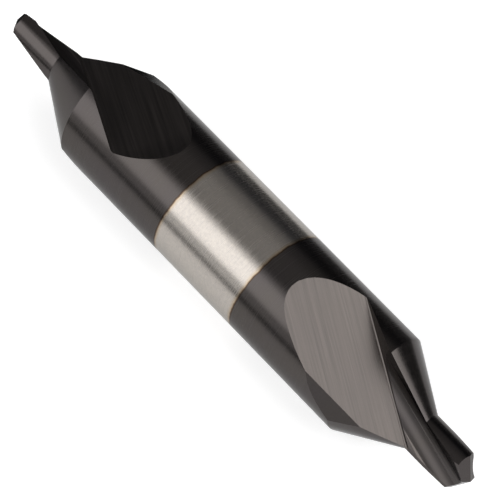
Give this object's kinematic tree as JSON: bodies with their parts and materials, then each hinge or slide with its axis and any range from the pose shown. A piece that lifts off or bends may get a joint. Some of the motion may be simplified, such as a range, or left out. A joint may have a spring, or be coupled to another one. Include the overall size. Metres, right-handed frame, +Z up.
{
  "type": "centre drill",
  "caption": "Double-ended centre drill: a round ground bar with a short pilot drill, a countersink cone and flutes at each end, coated dark, with a bare band in the middle.",
  "frame": {"origin": "the middle of the round body, on its axis, half way between the two cones", "axes": "+X along the tool's axis towards the front point, +Z up as the tool lies on its side, +Y to its left"},
  "size_m": [0.056, 0.01, 0.01],
  "materials": {
    "coated_tool_steel": "ground, with a dark hard coating"
  },
  "bodies": {
    "root": {"centre_drill": "coated_tool_steel"}
  },
  "joints": []
}
